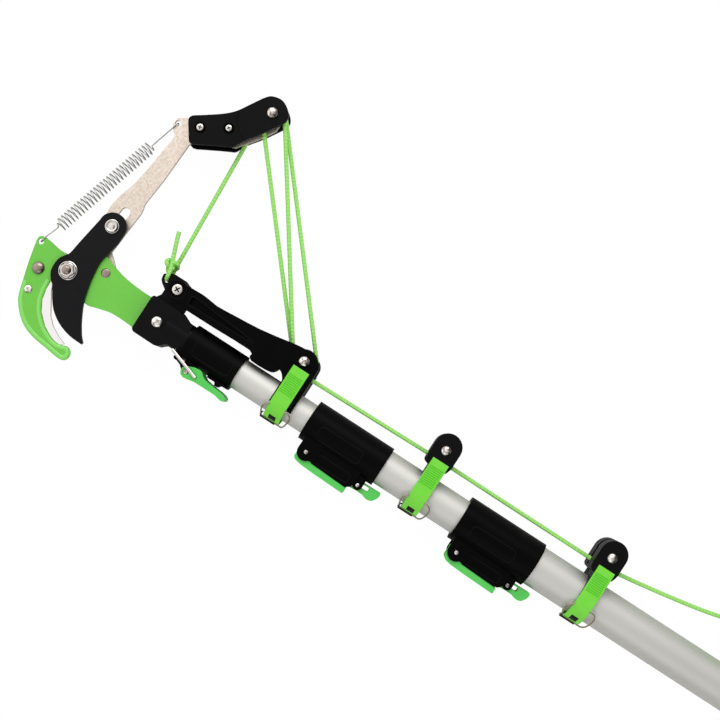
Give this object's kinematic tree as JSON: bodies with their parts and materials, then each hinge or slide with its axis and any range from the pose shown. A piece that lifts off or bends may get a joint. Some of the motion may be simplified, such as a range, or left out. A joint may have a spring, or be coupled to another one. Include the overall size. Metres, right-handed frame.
{
  "type": "telescopic pole saw",
  "caption": "Telescopic aluminium pole with a curved pull saw and a rope-worked bypass pruner: hook, blade, sprung arm with covered sheaves, lever clamps and rope guides.",
  "frame": {"origin": "centre of the closed butt end's face, on the pole's axis", "axes": "+X out of the butt end, so the saw points to -X; +Y to the side of the pole that carries the arm and the rope; +Z to the side that the picture looks at"},
  "size_m": [2.1951, 0.3827, 0.0508],
  "materials": {
    "green_paint": "glossy powder coat",
    "bright_steel": "bright, fine brushed",
    "black_steel": "low-friction black coat",
    "zinc": "bright plated",
    "black_plastic": "fine satin texture",
    "black_rubber": "matte",
    "green_plastic": "satin moulded",
    "green_rope": "braided",
    "aluminium": "satin anodised"
  },
  "bodies": {
    "pole_base": {"tube_3": "aluminium", "clamp_3_body": "black_plastic", "guide_3_block": "black_plastic", "guide_3_pin": "zinc", "strap_3": "green_plastic", "foot_grip": "black_rubber", "rope_free": "green_rope", "rope_coil": "green_rope", "pull_handle": "black_plastic"},
    "pole_middle": {"tube_2": "aluminium", "clamp_2_body": "black_plastic", "guide_2_block": "black_plastic", "guide_2_pin": "zinc", "strap_2": "green_plastic", "rope_run_2": "green_rope"},
    "head": {"tube_1": "aluminium", "hook_plate": "green_paint", "counter_blade": "bright_steel", "saw_blade": "bright_steel", "saw_bolt": "zinc", "blade_bolt": "zinc", "blade_nut": "zinc", "arm_rivet": "zinc", "head_socket": "black_plastic", "socket_rivet": "zinc", "clamp_1_collar": "black_plastic", "rope_bracket": "black_plastic", "bracket_screw": "zinc", "bracket_sheave_pin": "zinc", "strap_1": "green_plastic", "rope_knot": "green_rope", "rope_run_1": "green_rope"},
    "arm": {"lever_arm": "bright_steel", "pulley_cover_front": "black_plastic", "pulley_cover_rear": "black_plastic", "cover_screw_inner": "zinc", "cover_screw_outer": "zinc", "arm_sheave_pin": "zinc", "rope_wrap_rear": "green_rope", "rope_wrap_front": "green_rope"},
    "blade": {"cutting_blade": "black_steel", "link_bolt": "zinc"},
    "spring_line": {"return_spring": "bright_steel"},
    "spring_end": {"spring_hook": "bright_steel"},
    "rope_tail_line": {"rope_tail_lower": "green_rope"},
    "rope_tail_end": {"rope_tail_upper": "green_rope"},
    "rope_fall_line": {"rope_loop": "green_rope"},
    "rope_fall_end": {"rope_cross": "green_rope"},
    "arm_sheave_front": {"arm_sheave_front": "black_plastic"},
    "arm_sheave_rear": {"arm_sheave_rear": "black_plastic"},
    "bracket_sheave_front": {"bracket_sheave_front": "black_plastic"},
    "bracket_sheave_rear": {"bracket_sheave_rear": "black_plastic"},
    "guide_2_sheave": {"guide_2_sheave": "black_plastic"},
    "guide_3_sheave": {"guide_3_sheave": "black_plastic"},
    "clamp_1_lever": {"clamp_1_lever": "green_plastic"},
    "clamp_1_bail": {"clamp_1_bail": "bright_steel"},
    "clamp_2_lever": {"clamp_2_lever": "green_plastic"},
    "clamp_2_latch": {"clamp_2_latch": "green_plastic"},
    "clamp_3_lever": {"clamp_3_lever": "green_plastic"},
    "clamp_3_latch": {"clamp_3_latch": "green_plastic"}
  },
  "joints": [
    {"name": "middle_slide", "type": "slide", "parent": "pole_base", "child": "pole_middle", "axis": [-1, 0, 0], "range_m": [0, 1.15], "deforming": ["rope_run_2"]},
    {"name": "head_slide", "type": "slide", "parent": "pole_middle", "child": "head", "axis": [-1, 0, 0], "range_m": [0, 1.15], "deforming": ["rope_run_1"]},
    {"name": "arm_swing", "type": "hinge", "parent": "head", "child": "arm", "pos_m": [-1.8276, 0.0108, 0], "axis": [0, 0, 1], "range_deg": [-24, 10], "stiffness_Nm_per_rad": 1.5},
    {"name": "blade_swing", "type": "hinge", "parent": "head", "child": "blade", "pos_m": [-1.8571, -0.0061, 0], "axis": [0, 0, 1], "range_deg": [-14.7, 6.2]},
    {"name": "spring_swing", "type": "hinge", "parent": "head", "child": "spring_line", "pos_m": [-1.8941, 0.0029, 0], "axis": [0, 0, 1], "range_deg": [-19.8, 8.3]},
    {"name": "spring_reach", "type": "slide", "parent": "spring_line", "child": "spring_end", "axis": [0.2758, 0.9612, 0], "range_m": [-0.0104, 0.0248], "deforming": ["return_spring"]},
    {"name": "rope_tail_swing", "type": "hinge", "parent": "head", "child": "rope_tail_line", "pos_m": [-1.7762, 0.037, 0], "axis": [0, 0, 1], "range_deg": [-28.9, 12.1]},
    {"name": "rope_tail_reach", "type": "slide", "parent": "rope_tail_line", "child": "rope_tail_end", "axis": [-0.0055, 1, 0], "range_m": [-0.0192, 0.008], "deforming": ["rope_tail_lower", "rope_tail_upper"]},
    {"name": "rope_fall_swing", "type": "hinge", "parent": "head", "child": "rope_fall_line", "pos_m": [-1.627, 0.042, 0], "axis": [0, 0, 1], "range_deg": [-13.8, 5.8]},
    {"name": "rope_fall_reach", "type": "slide", "parent": "rope_fall_line", "child": "rope_fall_end", "axis": [-0.647, 0.7625, 0], "range_m": [-0.0757, 0.0316], "deforming": ["rope_loop", "rope_cross"]},
    {"name": "arm_sheave_front_spin", "type": "hinge", "parent": "arm", "child": "arm_sheave_front", "pos_m": [-1.7772, 0.219, 0], "axis": [0, 0, 1], "continuous": true},
    {"name": "arm_sheave_rear_spin", "type": "hinge", "parent": "arm", "child": "arm_sheave_rear", "pos_m": [-1.7772, 0.219, 0], "axis": [0, 0, 1], "continuous": true},
    {"name": "bracket_sheave_front_spin", "type": "hinge", "parent": "head", "child": "bracket_sheave_front", "pos_m": [-1.627, 0.042, 0], "axis": [0, 0, 1], "continuous": true},
    {"name": "bracket_sheave_rear_spin", "type": "hinge", "parent": "head", "child": "bracket_sheave_rear", "pos_m": [-1.627, 0.042, 0], "axis": [0, 0, 1], "continuous": true},
    {"name": "guide_2_sheave_spin", "type": "hinge", "parent": "pole_middle", "child": "guide_2_sheave", "pos_m": [-1.473, 0.0446, 0], "axis": [0, 0, 1], "continuous": true},
    {"name": "guide_3_sheave_spin", "type": "hinge", "parent": "pole_base", "child": "guide_3_sheave", "pos_m": [-1.2925, 0.0446, 0], "axis": [0, 0, 1], "continuous": true},
    {"name": "clamp_1_lever_swing", "type": "hinge", "parent": "head", "child": "clamp_1_lever", "pos_m": [-1.7139, -0.0251, 0], "axis": [0, 0, 1], "range_deg": [-100, 0]},
    {"name": "clamp_1_bail_swing", "type": "hinge", "parent": "clamp_1_lever", "child": "clamp_1_bail", "pos_m": [-1.7037, -0.0248, 0], "axis": [0, 0, 1], "range_deg": [0, 85]},
    {"name": "clamp_2_lever_swing", "type": "hinge", "parent": "pole_middle", "child": "clamp_2_lever", "pos_m": [-1.5805, -0.02665, 0], "axis": [0, 0, 1], "range_deg": [-90, 0]},
    {"name": "clamp_2_latch_swing", "type": "hinge", "parent": "pole_middle", "child": "clamp_2_latch", "pos_m": [-1.5242, -0.02665, 0], "axis": [0, 0, 1], "range_deg": [-26, 0]},
    {"name": "clamp_3_lever_swing", "type": "hinge", "parent": "pole_base", "child": "clamp_3_lever", "pos_m": [-1.414, -0.0289, 0], "axis": [0, 0, 1], "range_deg": [-90, 0]},
    {"name": "clamp_3_latch_swing", "type": "hinge", "parent": "pole_base", "child": "clamp_3_latch", "pos_m": [-1.3577, -0.0289, 0], "axis": [0, 0, 1], "range_deg": [-26, 0]}
  ],
  "couplings": [
    {"joint": "blade_swing", "follows": "arm_swing", "ratio": 0.61},
    {"joint": "spring_swing", "follows": "arm_swing", "ratio": 0.82},
    {"joint": "spring_reach", "follows": "arm_swing", "m_per_rad": -0.059},
    {"joint": "rope_tail_swing", "follows": "arm_swing", "ratio": 1.2},
    {"joint": "rope_tail_reach", "follows": "arm_swing", "m_per_rad": 0.0458},
    {"joint": "rope_fall_swing", "follows": "arm_swing", "ratio": 0.57},
    {"joint": "rope_fall_reach", "follows": "arm_swing", "m_per_rad": 0.1805},
    {"joint": "clamp_1_bail_swing", "follows": "clamp_1_lever_swing", "ratio": -0.85}
  ]
}
